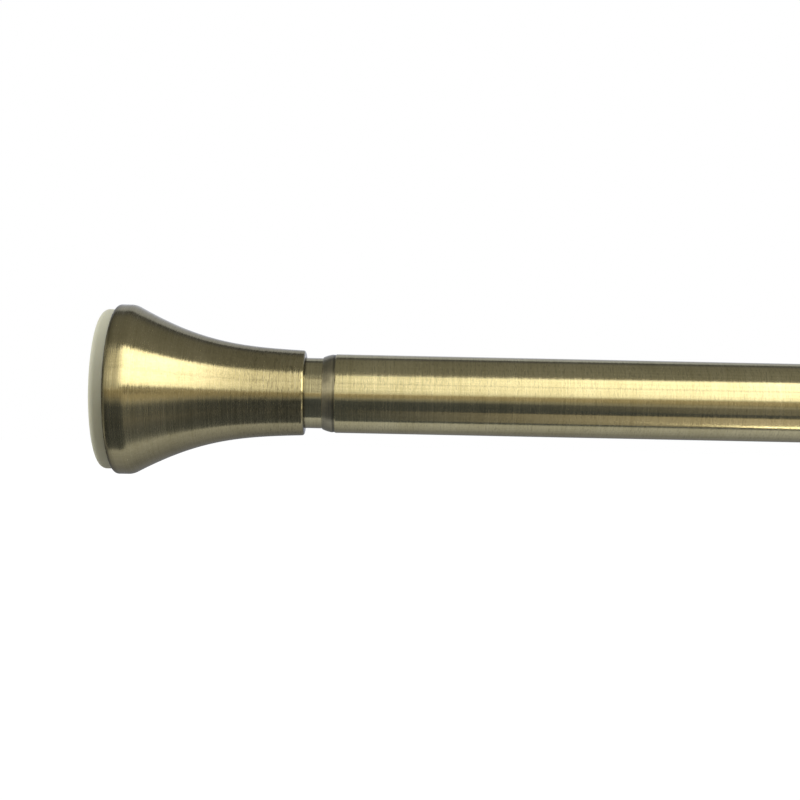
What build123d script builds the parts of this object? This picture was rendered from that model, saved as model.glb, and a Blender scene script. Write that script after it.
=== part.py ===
from build123d import *
from math import atan, cos, pi, sin, sqrt
import os

# Shower curtain rod of the tension kind: two telescoping tubes between two walls,
# with a flared cap and a rubber foot at each end. Millimetres, +Z up.
# The rod lies along X. Its right foot meets the wall at the origin, and its left
# foot meets the other wall at X = -closed_length, with the rod pushed together.

# Driving sizes of the rod
closed_length = 1067.0
feed_travel = 40.0
outer_tube_d = 28.0
outer_tube_wall = 0.7
inner_tube_d = 25.0
inner_tube_wall = 0.7

# Clearances
running = 0.1
press = 0.05
stop_gap = 0.3

# Rubber pad
pad_margin = 1.8
pad_thickness = 5.0
pad_corner_r = 2.2
pad_groove_radii = (9.0, 15.0, 21.0)
pad_groove_width = 1.6
pad_groove_depth = 0.6
pad_key_r = 21.0
pad_key_width = 2.0
pad_key_height = 1.4

# Flared cap: a rim, a straight band, then a flare that runs down to the neck's end
cap_skin = 0.8
rim_r = 30.0
rim_round = 1.5
band_length = 4.75
crease_r = 6.0
flare_length = 61.75
flare_slope = 0.54
flare_handle = 21.9
neck_r = 15.05
neck_slope = 0.04
neck_handle = 22.5
neck_round = 0.9

# Pad carrier
carrier_web = 3.0
carrier_skirt_wall = 2.0
carrier_lip = 0.9
carrier_hub_r = 7.7
carrier_hub_length = 8.0
carrier_ribs = 6
carrier_rib_width = 1.4
spring_ring_wall = 0.9

# Spring and its cup
spring_wire_d = 2.0
spring_play = 0.5
spring_turns = 4.0
spring_length = 18.5
cup_floor = 1.5
cup_wall = 1.0
cup_depth = 5.0

# Stem of the sprung foot
stem_r = 4.0
stem_head_r = 7.3
stem_head_height = 2.2
stem_counterbore = 2.4
stem_tail = 1.6
stem_washer_r = 8.0
stem_washer_thickness = 1.2
stem_nut_flats = 13.0
stem_nut_height = 5.5
foot_give = 5.5

# Tube plugs
plug_flange = 2.0
plug_length = 18.0
plug_chamfer = 0.8
outer_tube_in_cap = 41.5

# Collar in the outer tube's mouth
neck_margin = 0.8
collar_nose_length = 4.4
collar_nose_wall = 0.17
collar_step = 0.15
collar_sleeve_length = 40.0
tube_mouth_chamfer = 0.25

# Ring that stops the inner tube from leaving the outer one
stop_ring_from_end = 104.9
stop_ring_width = 4.0
stop_ring_groove = 0.3
stop_ring_split = 1.0

# Spindle, drive nut and bush
spindle_r = 5.0
screw_pitch = 3.0
nut_flats = 17.0
nut_length = 11.0
bush_flange = 3.0
bush_length = 22.0
cover_r = 10.8
cover_thickness = 2.0
stop_collar_r = 8.5
stop_collar_length = 6.0
stop_pin_r = 1.25
spindle_tail = 2.0
spindle_drive_flats = 8.0

# Lock
cam_throw = 1.2
cam_core_r = 7.0
cam_flange = 2.0
cam_flange_r = 12.0
cam_ring_r = 12.8
cam_ring_width = 20.0
cam_slot = 2.0
cam_grip_grooves = 16
cam_grip_depth = 0.35
cam_washer_thickness = 1.5
cam_screw_r = 2.0
cam_screw_length = 12.0
cam_screw_head_r = 4.2
cam_screw_head = 2.5

# Screw of the right foot
foot_screw_r = 2.5
foot_screw_head_r = 4.6
foot_screw_head = 1.4
foot_screw_length = 36.0
screw_washer_r = 7.2
screw_washer_thickness = 0.8
recess_width = 1.0
recess_depth = 0.8

# Sizes that follow from the ones above
pad_r = rim_r - pad_margin
outer_r = outer_tube_d / 2
outer_bore_r = outer_r - outer_tube_wall
inner_r = inner_tube_d / 2
inner_bore_r = inner_r - inner_tube_wall

crease_start = pad_thickness + band_length
neck_end = crease_start + flare_length
outer_end_from_wall = neck_end - outer_tube_in_cap
carrier_back = pad_thickness + carrier_web
carrier_hub_end = carrier_back + carrier_hub_length
spring_mean_r = carrier_hub_r + spring_play + spring_wire_d / 2
spring_ring_r = spring_mean_r + spring_wire_d / 2 + stop_gap
cup_end = carrier_back + spring_length + cup_floor
inner_tube_start = cup_end + running + plug_flange
stem_plug_end = inner_tube_start + plug_length

# Places along X, all measured from the right wall
left_wall = -closed_length
collar_nose = left_wall + neck_end + foot_give + neck_margin
outer_tube_left = collar_nose + collar_nose_length
outer_tube_right = -outer_end_from_wall
collar_end = outer_tube_left + collar_sleeve_length
plug_stop = outer_tube_right - plug_length
cam_screw_end = plug_stop - stop_gap
cam_washer_end = cam_screw_end - cam_screw_head
cam_ring_end = cam_washer_end - cam_washer_thickness
cam_core_start = cam_ring_end - cam_ring_width
cam_flange_start = cam_core_start - cam_flange
bush_end = cam_flange_start - stop_gap
inner_tube_right = bush_end - bush_flange
inner_tube_left = left_wall + inner_tube_start
bush_start = inner_tube_right - bush_length
nut_end = bush_end - cover_thickness
nut_start = nut_end - nut_length
stop_collar_end = bush_start - feed_travel - stop_gap
stop_collar_start = stop_collar_end - stop_collar_length
spindle_start = stop_collar_start - spindle_tail
stop_ring_left = inner_tube_right - stop_ring_from_end
reach = stop_ring_left - stop_gap - collar_end - feed_travel


def turned(points, rounds=None):
    """Solid turned about the X axis from an outline of (x, radius) points."""
    outline = make_face(Polyline(*points, close=True))
    for point, size in (rounds or {}).items():
        corner = outline.vertices().sort_by_distance((point[0], point[1], 0))[0]
        outline = fillet(corner, size)
    return revolve(Plane.XZ * outline, Axis.X)


def ring(x_start, x_end, r_in, r_out):
    """Plain washer or sleeve between two places along X."""
    return turned([(x_start, r_in), (x_end, r_in), (x_end, r_out), (x_start, r_out)])


def rod(x_start, x_end, radius):
    """Plain round bar between two places along X."""
    return turned([(x_start, 0), (x_end, 0), (x_end, radius), (x_start, radius)])


def hexagon_bar(x_start, x_end, flats):
    """Hexagonal bar between two places along X."""
    section = RegularPolygon(flats / 2, 6, major_radius=False)
    return extrude(Plane(origin=(x_start, 0, 0), x_dir=(0, 1, 0), z_dir=(1, 0, 0)) * section, x_end - x_start)


def slab(x_start, x_end, y_size, z_low, z_high):
    """Box centred on Y, given by its ends along X and Z."""
    middle = ((x_start + x_end) / 2, 0, (z_low + z_high) / 2)
    return Pos(*middle) * Box(x_end - x_start, y_size, z_high - z_low)


def around_x(piece, count):
    """The same piece, repeated round the X axis."""
    return [Rot(X=360 * i / count) * piece for i in range(count)]


def at_left(piece):
    """A foot's piece, drawn from its wall face along +X, put at the left wall."""
    return Pos(left_wall, 0, 0) * piece


def at_right(piece):
    """A foot's piece, drawn from its wall face along +X, turned round at the right wall."""
    return Rot(Z=180) * piece


# Feet: each piece is drawn with its wall face at x = 0


def pad():
    """Rubber disc with a rounded edge, grooves in its wall face and a key ring behind."""
    disc = turned(
        [(0, 0), (pad_thickness, 0), (pad_thickness, pad_r), (0, pad_r)],
        {(0, pad_r): pad_corner_r},
    )
    half = pad_groove_width / 2
    for radius in pad_groove_radii:
        disc -= ring(-pad_groove_depth, pad_groove_depth, radius - half, radius + half)
    key_half = pad_key_width / 2
    key_end = pad_thickness + pad_key_height
    return disc + ring(pad_thickness, key_end, pad_key_r - key_half, pad_key_r + key_half)


def cap(bore_r):
    """Spun trumpet: rolled rim, band, crease, flare and a neck turned in to bore_r."""
    lean = atan(flare_slope)
    neck_lean = atan(neck_slope)
    crease_middle = (crease_start, rim_r - crease_r)
    rim_middle = (pad_thickness + rim_round, rim_r - rim_round)
    neck_top = (neck_end - neck_round * (1 - sin(neck_lean)), neck_r + neck_slope * neck_round)
    neck_middle = (neck_end - neck_round, neck_top[1] - neck_round * cos(neck_lean))

    def crease_point(skin, angle):
        """Point of the crease's arc, at a depth below the outer face."""
        reach_out = crease_r - skin
        return (crease_middle[0] + reach_out * sin(angle), crease_middle[1] + reach_out * cos(angle))

    def rim_point(skin, angle):
        """Point of the rolled rim's arc, at a depth below the outer face."""
        reach_out = rim_round - skin
        return (rim_middle[0] - reach_out * sin(angle), rim_middle[1] + reach_out * cos(angle))

    def flare(skin, last):
        """The trumpet's curve from the crease to the neck, at a depth below the outer face."""
        first = crease_point(skin, lean)
        second = (first[0] + flare_handle, first[1] - flare_slope * flare_handle)
        third = (last[0] - neck_handle, last[1] + neck_slope * neck_handle)
        return Bezier(first, second, third, last)

    quarter = pi / 2
    inner_neck = (neck_end - cap_skin, neck_top[1] - cap_skin)
    edges = [
        ThreePointArc(rim_point(0, quarter), rim_point(0, quarter / 2), rim_point(0, 0)),
        Line(rim_point(0, 0), crease_point(0, 0)),
        ThreePointArc(crease_point(0, 0), crease_point(0, lean / 2), crease_point(0, lean)),
        flare(0, neck_top),
        ThreePointArc(
            neck_top,
            (neck_middle[0] + neck_round * sin(quarter / 2), neck_middle[1] + neck_round * cos(quarter / 2)),
            (neck_end, neck_middle[1]),
        ),
        Line((neck_end, neck_middle[1]), (neck_end, bore_r)),
        Line((neck_end, bore_r), (neck_end - cap_skin, bore_r)),
        Line((neck_end - cap_skin, bore_r), inner_neck),
        flare(cap_skin, inner_neck),
        ThreePointArc(
            crease_point(cap_skin, lean), crease_point(cap_skin, lean / 2), crease_point(cap_skin, 0)
        ),
        Line(crease_point(cap_skin, 0), rim_point(cap_skin, 0)),
        ThreePointArc(
            rim_point(cap_skin, 0), rim_point(cap_skin, quarter / 2), rim_point(cap_skin, quarter)
        ),
        Line(rim_point(cap_skin, quarter), rim_point(0, quarter)),
    ]
    return revolve(Plane.XZ * make_face(edges), Axis.X)


def pad_carrier(bore_r):
    """Moulded disc behind the pad: lip, skirt, hub, spring ring, ribs and a counterbore."""
    skirt_r = rim_r - cap_skin - 2 * running
    skirt_inner_r = skirt_r - carrier_skirt_wall
    disc = turned(
        [
            (pad_thickness, bore_r),
            (carrier_hub_end, bore_r),
            (carrier_hub_end, carrier_hub_r),
            (carrier_back, carrier_hub_r),
            (carrier_back, skirt_inner_r),
            (crease_start, skirt_inner_r),
            (crease_start, skirt_r),
            (pad_thickness + carrier_lip, skirt_r),
            (pad_thickness + carrier_lip, pad_r),
            (pad_thickness, pad_r),
        ],
        {(pad_thickness + carrier_lip, skirt_r): rim_round - cap_skin - running},
    )
    disc += ring(carrier_back, crease_start, spring_ring_r, spring_ring_r + spring_ring_wall)
    rib_start = spring_ring_r + spring_ring_wall / 2
    rib = slab(carrier_back, crease_start, carrier_rib_width, rib_start, skirt_inner_r + press)
    disc += around_x(rib, carrier_ribs)
    disc -= rod(pad_thickness - 1, pad_thickness + stem_counterbore, stem_head_r + running)
    key_half = pad_key_width / 2 + running
    key_floor = pad_thickness + pad_key_height + running
    return disc - ring(pad_thickness - 1, key_floor, pad_key_r - key_half, pad_key_r + key_half)


def foot_stem():
    """Steel stem with a flat head under the pad and a chamfered tail past the nut."""
    head_end = pad_thickness + stem_counterbore
    head_start = head_end - stem_head_height
    nut_face = stem_plug_end + running + stem_washer_thickness
    tail_end = nut_face + stem_nut_height + stem_tail
    return turned(
        [
            (head_start, 0),
            (tail_end, 0),
            (tail_end, stem_r - plug_chamfer),
            (tail_end - plug_chamfer, stem_r),
            (head_end, stem_r),
            (head_end, stem_head_r),
            (head_start, stem_head_r),
        ],
        {(head_start, stem_head_r): stem_head_height / 4},
    )


def stem_washer():
    """Flat washer behind the tube plug."""
    start = stem_plug_end + running
    return ring(start, start + stem_washer_thickness, stem_r + press, stem_washer_r)


def stem_nut():
    """Hexagon nut that keeps the foot on the rod."""
    start = stem_plug_end + running + stem_washer_thickness
    end = start + stem_nut_height
    return chamfered_nut(start, end, stem_nut_flats, stem_r + press)


def chamfered_nut(start, end, flats, bore_r):
    """Hexagon nut whose corners are turned off at both faces."""
    corner_r = flats / sqrt(3)
    slope = corner_r - flats / 2
    turned_shape = turned(
        [
            (start, 0),
            (end, 0),
            (end, flats / 2),
            (end - slope / 2, corner_r),
            (start + slope / 2, corner_r),
            (start, flats / 2),
        ]
    )
    return (hexagon_bar(start, end, flats) & turned_shape) - rod(start - 1, end + 1, bore_r)


def spring_cup():
    """Dished washer that seats the spring on the end of the inner tube."""
    rim_in = spring_mean_r + spring_wire_d / 2 + 2 * running
    floor = cup_end - cup_floor
    return turned(
        [
            (floor, stem_r + running),
            (cup_end, stem_r + running),
            (cup_end, rim_in + cup_wall),
            (cup_end - cup_depth, rim_in + cup_wall),
            (cup_end - cup_depth, rim_in),
            (floor, rim_in),
        ],
        {(cup_end, rim_in + cup_wall): cup_wall / 2},
    )


def foot_spring():
    """Compression spring between the pad carrier and the cup."""
    start = carrier_back + spring_wire_d / 2 + press
    height = spring_length - spring_wire_d - 2 * press
    path = Helix(height / spring_turns, height, spring_mean_r, center=(start, 0, 0), direction=(1, 0, 0))
    wire = Plane(origin=path @ 0, z_dir=path % 0) * Circle(spring_wire_d / 2)
    return sweep(wire, path, is_frenet=True)


# Inner tube and what is fixed to it


def inner_tube():
    """Thin steel tube with a rolled groove for the stop ring."""
    tube = ring(inner_tube_left, inner_tube_right, inner_bore_r, inner_r)
    groove_end = stop_ring_left + stop_ring_width
    return tube - ring(stop_ring_left, groove_end, inner_r - stop_ring_groove, inner_r + 1)


def left_tube_plug():
    """Turned plug in the inner tube's left end, with the stem's guide bore."""
    flange_start = inner_tube_left - plug_flange
    body_end = inner_tube_left + plug_length
    body_r = inner_bore_r - press
    return turned(
        [
            (flange_start, stem_r + running),
            (body_end, stem_r + running),
            (body_end, body_r - plug_chamfer),
            (body_end - plug_chamfer, body_r),
            (inner_tube_left, body_r),
            (inner_tube_left, inner_r - running),
            (flange_start, inner_r - running),
        ],
        {(flange_start, inner_r - running): plug_flange / 4},
    )


def stop_ring():
    """Split ring in the inner tube's groove, which meets the collar at full reach."""
    end = stop_ring_left + stop_ring_width
    band = ring(stop_ring_left + press, end - press, inner_r - stop_ring_groove, outer_bore_r - running)
    return band - slab(stop_ring_left - 1, end + 1, stop_ring_split, 0, outer_r)


def end_bush():
    """Bush in the inner tube's right end: a guide flange and a pocket for the drive nut."""
    body_r = inner_bore_r - press
    bush = turned(
        [
            (bush_start, spindle_r + stop_gap),
            (bush_end, spindle_r + stop_gap),
            (bush_end, outer_bore_r - running),
            (inner_tube_right, outer_bore_r - running),
            (inner_tube_right, body_r),
            (bush_start + plug_chamfer, body_r),
            (bush_start, body_r - plug_chamfer),
        ],
        {(bush_end, outer_bore_r - running): bush_flange / 4},
    )
    bush -= hexagon_bar(nut_start, bush_end, nut_flats + 2 * press)
    return bush - rod(nut_end, bush_end + 1, cover_r + press)


def drive_nut():
    """Hexagon nut that runs along the spindle as the inner tube turns."""
    return chamfered_nut(nut_start, nut_end, nut_flats, spindle_r + running)


def nut_cover():
    """Disc that shuts the nut in its pocket."""
    return ring(nut_end, bush_end, spindle_r + stop_gap, cover_r)


# Spindle and lock


def spindle():
    """Screw spindle: a round bar of the thread's outer size, with a hexagon end for the lock."""
    bar = rod(spindle_start, cam_flange_start, spindle_r)
    bar = chamfer(bar.edges().sort_by(Axis.X)[0], plug_chamfer)
    bar += hexagon_bar(cam_flange_start, cam_ring_end, spindle_drive_flats)
    bar -= stop_pin_hole()
    return bar - rod(cam_ring_end - cam_screw_length, cam_ring_end + 1, cam_screw_r + press)


def stop_pin_hole():
    """Cross hole for the stop collar's pin."""
    middle = (stop_collar_start + stop_collar_end) / 2
    return Pos(middle, 0, 0) * Rot(X=90) * Cylinder(stop_pin_r, 2 * stop_collar_r + 2)


def travel_stop():
    """Collar pinned on the spindle's left end, where the bush stops."""
    collar = ring(stop_collar_start, stop_collar_end, spindle_r + press, stop_collar_r)
    return collar - stop_pin_hole()


def stop_pin():
    """Pin through the stop collar and the spindle."""
    middle = (stop_collar_start + stop_collar_end) / 2
    pin = Cylinder(stop_pin_r - press, 2 * stop_collar_r - 1)
    return Pos(middle, 0, 0) * Rot(X=90) * chamfer(pin.edges(), stop_pin_r / 4)


def cam_core():
    """Flange and round core, set off the rod's axis, that wedges the cam ring."""
    flange = rod(cam_flange_start, cam_core_start, cam_flange_r)
    core = Pos(0, 0, cam_throw) * rod(cam_core_start, cam_ring_end, cam_core_r)
    drive = hexagon_bar(cam_flange_start - 1, cam_ring_end + 1, spindle_drive_flats + 2 * press)
    return flange + core - drive


def cam_ring():
    """Split nylon ring on the core, with shallow grooves round its outside."""
    start = cam_core_start + running
    end = cam_ring_end - running
    band = rod(start, end, cam_ring_r)
    band -= Pos(0, 0, cam_throw) * rod(start - 1, end + 1, cam_core_r + running)
    half_groove = Rot(X=180 / cam_grip_grooves)
    groove = Pos(0, 0, cam_ring_r) * Rot(Y=90) * Cylinder(cam_grip_depth, 2 * cam_ring_width + 2)
    groove = Pos(start, 0, 0) * groove
    band -= [half_groove * turn for turn in around_x(groove, cam_grip_grooves)]
    return band - slab(start - 1, end + 1, cam_slot, -cam_ring_r - 1, 0)


def cam_washer():
    """Washer that keeps the ring on its core."""
    return ring(cam_ring_end, cam_washer_end, cam_screw_r + press, cam_flange_r)


def cam_screw():
    """Pan-head screw in the spindle's end, with a cross recess."""
    tip = cam_ring_end - cam_screw_length + 1
    shank = rod(tip, cam_washer_end, cam_screw_r)
    head = turned(
        [
            (cam_washer_end, 0),
            (cam_screw_end, 0),
            (cam_screw_end, cam_screw_head_r),
            (cam_washer_end, cam_screw_head_r),
        ],
        {(cam_screw_end, cam_screw_head_r): cam_screw_head / 3},
    )
    return shank + head - cross_recess(cam_screw_end - recess_depth, cam_screw_end + 1, cam_screw_head_r)


def cross_recess(x_start, x_end, head_r):
    """Two crossed slots for a screwdriver."""
    slot = slab(x_start, x_end, recess_width, -head_r / 2, head_r / 2)
    return slot + Rot(X=90) * slot


# Outer tube and what is fixed to it


def outer_tube():
    """Thin steel tube that carries the curtain's hooks, chamfered at its mouth."""
    return turned(
        [
            (outer_tube_left, outer_bore_r),
            (outer_tube_right, outer_bore_r),
            (outer_tube_right, outer_r),
            (outer_tube_left + tube_mouth_chamfer, outer_r),
            (outer_tube_left, outer_r - tube_mouth_chamfer),
        ]
    )


def mouth_collar():
    """Collar that closes the tube's mouth: a tapered nose and a thin guide sleeve."""
    bore_r = inner_r + running - press / 2
    return turned(
        [
            (collar_nose, bore_r),
            (collar_end, bore_r),
            (collar_end, outer_bore_r - press),
            (outer_tube_left, outer_bore_r - press),
            (outer_tube_left, outer_r - collar_step),
            (collar_nose, bore_r + collar_nose_wall),
        ]
    )


def right_tube_plug():
    """Plug of the outer tube: flange, cored body, and a nose that seats the right foot."""
    body_end = outer_end_from_wall + plug_length
    flange_start = outer_end_from_wall - plug_flange
    body_r = outer_bore_r - press
    bore_r = foot_screw_r + press
    plug = turned(
        [
            (carrier_hub_end, bore_r),
            (body_end, bore_r),
            (body_end, body_r - plug_chamfer),
            (body_end - plug_chamfer, body_r),
            (outer_end_from_wall, body_r),
            (outer_end_from_wall, outer_r - running),
            (flange_start, outer_r - running),
            (flange_start, carrier_hub_r),
            (carrier_hub_end, carrier_hub_r),
        ]
    )
    core_out = ring(outer_end_from_wall, body_end + 1, carrier_hub_r, body_r - 2 * plug_chamfer)
    return plug - core_out


def foot_screw():
    """Screw that draws the right foot onto the tube's plug."""
    head_end = pad_thickness + stem_counterbore - screw_washer_thickness
    head_start = head_end - foot_screw_head
    tip = head_end + foot_screw_length
    screw = turned(
        [
            (head_start, 0),
            (tip, 0),
            (tip - foot_screw_r, foot_screw_r),
            (head_end, foot_screw_r),
            (head_end, foot_screw_head_r),
            (head_start, foot_screw_head_r),
        ],
        {(head_start, foot_screw_head_r): foot_screw_head / 2},
    )
    return screw - cross_recess(head_start - 1, head_start + recess_depth, foot_screw_head_r)


def screw_washer():
    """Washer under the foot screw's head."""
    end = pad_thickness + stem_counterbore
    return ring(end - screw_washer_thickness, end, foot_screw_r + press, screw_washer_r)


nodes = {
    "left_pad": at_left(pad()),
    "left_pad_carrier": at_left(pad_carrier(stem_r + press)),
    "left_cap": at_left(cap(inner_r + running)),
    "foot_stem": at_left(foot_stem()),
    "stem_washer": at_left(stem_washer()),
    "stem_nut": at_left(stem_nut()),
    "spring_cup": at_left(spring_cup()),
    "foot_spring": at_left(foot_spring()),
    "inner_tube": inner_tube(),
    "left_tube_plug": left_tube_plug(),
    "stop_ring": stop_ring(),
    "end_bush": end_bush(),
    "drive_nut": drive_nut(),
    "nut_cover": nut_cover(),
    "spindle": spindle(),
    "travel_stop": travel_stop(),
    "stop_pin": stop_pin(),
    "cam_core": cam_core(),
    "cam_ring": cam_ring(),
    "cam_washer": cam_washer(),
    "cam_screw": cam_screw(),
    "outer_tube": outer_tube(),
    "mouth_collar": mouth_collar(),
    "right_cap": at_right(cap(outer_r + running)),
    "right_pad": at_right(pad()),
    "right_pad_carrier": at_right(pad_carrier(foot_screw_r + press)),
    "right_tube_plug": at_right(right_tube_plug()),
    "foot_screw": at_right(foot_screw()),
    "screw_washer": at_right(screw_washer()),
}

os.makedirs("parts", exist_ok=True)
for name, piece in nodes.items():
    export_step(piece, f"parts/{name}.step")

print("inner tube length", round(inner_tube_right - inner_tube_left, 2))
print("outer tube length", round(outer_tube_right - outer_tube_left, 2))
print("longest rod", round(closed_length + reach + feed_travel, 2))
print("tube kept inside at full reach", round(inner_tube_right - reach - feed_travel - outer_tube_left, 2))
print("turns of the screw", round(feed_travel / screw_pitch, 3))
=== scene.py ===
# %% [markdown]
# # A telescopic shower curtain rod
#
# Two thin brushed-brass tubes slide in each other. A trumpet-shaped cap and a
# rubber pad stand at each end, and a lock, a screw and a spring hide inside.
# The engineering model gives every piece its real size and place, and this
# notebook gives each visible piece a smooth surface and a finish. It starts by
# opening that model, because everything below is measured from it.

from math import pi, radians

import bpy
import numpy as np
from mathutils import Matrix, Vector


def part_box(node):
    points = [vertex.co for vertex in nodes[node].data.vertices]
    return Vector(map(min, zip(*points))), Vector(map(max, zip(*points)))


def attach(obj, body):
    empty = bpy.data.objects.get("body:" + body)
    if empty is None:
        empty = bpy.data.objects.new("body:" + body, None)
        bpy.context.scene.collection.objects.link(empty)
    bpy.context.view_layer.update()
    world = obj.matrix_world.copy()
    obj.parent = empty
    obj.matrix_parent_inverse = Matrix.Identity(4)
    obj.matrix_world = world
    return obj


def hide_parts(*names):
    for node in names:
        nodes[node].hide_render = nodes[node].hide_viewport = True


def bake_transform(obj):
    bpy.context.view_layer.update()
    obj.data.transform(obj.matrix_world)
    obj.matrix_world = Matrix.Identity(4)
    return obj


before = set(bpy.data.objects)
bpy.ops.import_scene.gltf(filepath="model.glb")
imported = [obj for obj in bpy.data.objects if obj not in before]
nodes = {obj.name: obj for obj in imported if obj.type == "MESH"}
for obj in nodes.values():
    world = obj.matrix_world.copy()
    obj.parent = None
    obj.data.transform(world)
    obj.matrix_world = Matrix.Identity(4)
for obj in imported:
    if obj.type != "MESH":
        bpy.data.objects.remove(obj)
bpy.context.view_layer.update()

# %% [markdown]
# ## Sizes
#
# Blender counts in metres and a workshop in millimetres, so each size is written
# in millimetres and multiplied once. Places along the rod are read from the
# model's own boxes, so they can't drift away from it. The profile sizes below
# are the same ones that the engineering model was turned from.

# %% Sizes of the turned pieces
mm = 0.001

pad_thickness = 5.0 * mm
pad_corner_r = 2.2 * mm
pad_groove_radii = (9.0 * mm, 15.0 * mm, 21.0 * mm)
pad_groove_width = 1.6 * mm
pad_groove_depth = 0.6 * mm
pad_key_r = 21.0 * mm
pad_key_width = 2.0 * mm
pad_key_height = 1.4 * mm

cap_skin = 0.8 * mm
rim_round = 1.5 * mm
band_length = 4.75 * mm
crease_r = 6.0 * mm
flare_slope = 0.54
flare_handle = 21.9 * mm
neck_r = 15.05 * mm
neck_slope = 0.04
neck_handle = 22.5 * mm
neck_round = 0.9 * mm

tube_wall = 0.7 * mm
running_gap = 0.1 * mm
edge_round = 0.12 * mm


def ends(node):
    """The two ends of a piece along the rod, and its outer radius, from the model's box."""
    low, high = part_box(node)
    return low[0], high[0], (high[1] - low[1]) / 2


left_wall, _, pad_r = ends("left_pad")
_, neck_end, rim_r = ends("left_cap")
inner_left, inner_right, inner_r = ends("inner_tube")
outer_left, outer_right, outer_r = ends("outer_tube")
collar_nose, collar_end, _ = ends("mouth_collar")
print(f"caps {rim_r / mm:.1f} mm in radius, tubes {inner_r / mm:.2f} and {outer_r / mm:.2f} mm")

# %% [markdown]
# ## A lathe
#
# Nearly everything on this rod is round, as it came off a lathe or a roller. One
# outline of points (distance along the rod, radius) says all about such a piece.
# Turning it through many small angles gives a grid of corners, with no modifier
# and no loop over vertices. The edges that a tool leaves round are arcs in the
# outline, and edges that stay crisp are marked sharp by their angle.


# %% Outline pieces: straight runs, arcs and trumpet curves
same_place = 1e-7


def arc(middle, radius, start, end, steps=14):
    """Points on a circle: middle + radius * (sin a, cos a), for a from start to end."""
    angle = np.linspace(start, end, steps)
    return np.stack([middle[0] + radius * np.sin(angle), middle[1] + radius * np.cos(angle)], 1)


def trumpet(first, second, third, last, steps=110):
    """Cubic curve: (1-t)^3 first + 3t(1-t)^2 second + 3t^2(1-t) third + t^3 last."""
    t = np.linspace(0, 1, steps)[:, None]
    corners = [np.array(point) for point in (first, second, third, last)]
    weights = [(1 - t) ** 3, 3 * t * (1 - t) ** 2, 3 * t**2 * (1 - t), t**3]
    return sum(weight * corner for weight, corner in zip(weights, corners))


def outline(*runs):
    """One outline from runs and single points, with doubled points left out."""
    points = np.concatenate([np.atleast_2d(np.array(run, dtype=float)) for run in runs])
    steps = np.linalg.norm(np.diff(points, axis=0), axis=1)
    return points[np.concatenate([[True], steps > same_place])]


# %% Turn an outline into a mesh
sharp_angle = radians(32)


def mesh_object(name, vertices, faces, grain=None):
    """A smooth-shaded object at the origin. grain gives each face corner its place on the grain map."""
    mesh = bpy.data.meshes.new(name)
    mesh.from_pydata(vertices.tolist(), [], faces)
    if grain is not None:
        uv = mesh.uv_layers.new(name="grain")
        uv.data.foreach_set("uv", np.concatenate(grain).astype(np.float32).ravel())
    mesh.shade_smooth()
    mesh.set_sharp_from_angle(angle=sharp_angle)
    made = bpy.data.objects.new(name, mesh)
    bpy.context.scene.collection.objects.link(made)
    return made


def ring_faces(rows, around):
    """Faces of a rod made of rings of corners: quads between two rings, and one face over each end."""
    row, column = np.arange(rows - 1)[:, None] * around, np.arange(around)[None]
    beside = (column + 1) % around
    quads = np.stack([row + column, row + beside, row + around + beside, row + around + column], -1)
    first = list(range(around))
    last = list(range((rows - 1) * around, rows * around))
    return quads.reshape(-1, 4).tolist() + [first[::-1], last]


def turned(name, points, closed=True, around=192):
    """Corner (x, r) of the outline, turned by t, lies at (x, r cos t, r sin t).

    A closed outline makes a tube. An open one starts and ends on the axis.
    On the grain map, U runs along the outline and V once round the rod.
    Faces point outwards if the outline runs clockwise, so one that doesn't is reversed.
    """
    x, r = points.T
    if np.sum(x * np.roll(r, -1) - np.roll(x, -1) * r) > 0:
        points = points[::-1]
    turn = np.arange(around) * 2 * pi / around
    body = points if closed else points[1:-1]
    rows = len(body)
    spin = np.stack([np.ones(around), np.cos(turn), np.sin(turn)], 1)
    vertices = (body[:, [0, 1, 1]][:, None, :] * spin[None]).reshape(-1, 3)

    row = np.arange(rows if closed else rows - 1)[:, None]
    column = np.arange(around)[None]
    here, above = row * around, (row + 1) % rows * around
    beside = (column + 1) % around
    quads = np.stack(
        np.broadcast_arrays(here + column, here + beside, above + beside, above + column), -1
    ).reshape(-1, 4)

    loop = np.concatenate([points, points[:1]]) if closed else points
    along = np.concatenate([[0], np.cumsum(np.linalg.norm(np.diff(loop, axis=0), axis=1))])
    offset = 0 if closed else 1
    v = column / around
    u0, u1 = along[row + offset], along[row + offset + 1]
    corners = [(u0, v), (u0, v + 1 / around), (u1, v + 1 / around), (u1, v)]
    grain = np.stack([np.stack(np.broadcast_arrays(u, w), -1) for u, w in corners], -2).reshape(-1, 2)
    faces = quads.tolist()
    grains = [grain]

    if not closed:
        poles = np.array([[points[0, 0], 0, 0], [points[-1, 0], 0, 0]])
        vertices = np.concatenate([vertices, poles])
        side = np.arange(around)
        after = (side + 1) % around
        last = (rows - 1) * around
        centre = np.full(around, rows * around)
        faces += np.stack([centre, after, side], 1).tolist()
        faces += np.stack([centre + 1, last + side, last + after], 1).tolist()
        middle = (side + 0.5) / around
        for u_pole, u_ring, order in ((along[0], along[1], (1, 0)), (along[-1], along[-2], (0, 1))):
            ring = [np.stack([np.full(around, u_ring), (side + step) / around], 1) for step in order]
            pole = np.stack([np.full(around, u_pole), middle], 1)
            grains.append(np.stack([pole, *ring], 1).reshape(-1, 2))

    made = mesh_object(name, vertices, faces, grains)
    print(f"{name}: {len(vertices)} corners, {len(faces)} faces")
    return made


def mirrored(points):
    """The same outline for the other end of the rod, where x is measured from the other wall."""
    return np.stack([-points[:, 0], points[:, 1]], 1)


def from_wall(points):
    """An outline drawn from a wall face, put at the left wall."""
    return points + [left_wall, 0]


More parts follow.
